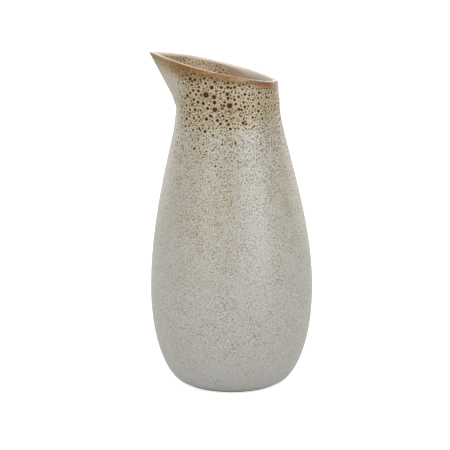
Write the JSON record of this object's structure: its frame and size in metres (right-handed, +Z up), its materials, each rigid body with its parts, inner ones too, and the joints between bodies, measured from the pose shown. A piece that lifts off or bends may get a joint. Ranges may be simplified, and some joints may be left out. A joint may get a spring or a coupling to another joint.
{
  "type": "stoneware carafe jug",
  "caption": "Handleless stoneware carafe jug with a rounded belly, narrow neck and a pinched pouring beak, in speckled grey glaze with a rust-brown lip.",
  "frame": {"origin": "centre of the foot ring, on the plane that the jug stands on", "axes": "+Z up; -X towards the pouring beak; +Y completes a right-handed set, and the jug is the same on both sides of the XZ plane"},
  "size_m": [0.122, 0.122, 0.2502],
  "materials": {
    "fired_clay": "bare fired stoneware, matt and slightly gritty",
    "speckled_glaze": "satin warm grey glaze with iron-brown specks and blooms",
    "lip_glaze": "thin satin glaze that breaks rust-brown below the lip and cream on its crest",
    "liner_glaze": "satin grey-beige liner glaze, browner and dotted near the beak",
    "base_glaze": "satin grey glaze"
  },
  "bodies": {
    "root": {"clay_body": "fired_clay", "outer_glaze": "speckled_glaze", "lip_glaze": "lip_glaze", "liner_glaze": "liner_glaze", "base_glaze": "base_glaze"}
  },
  "joints": []
}
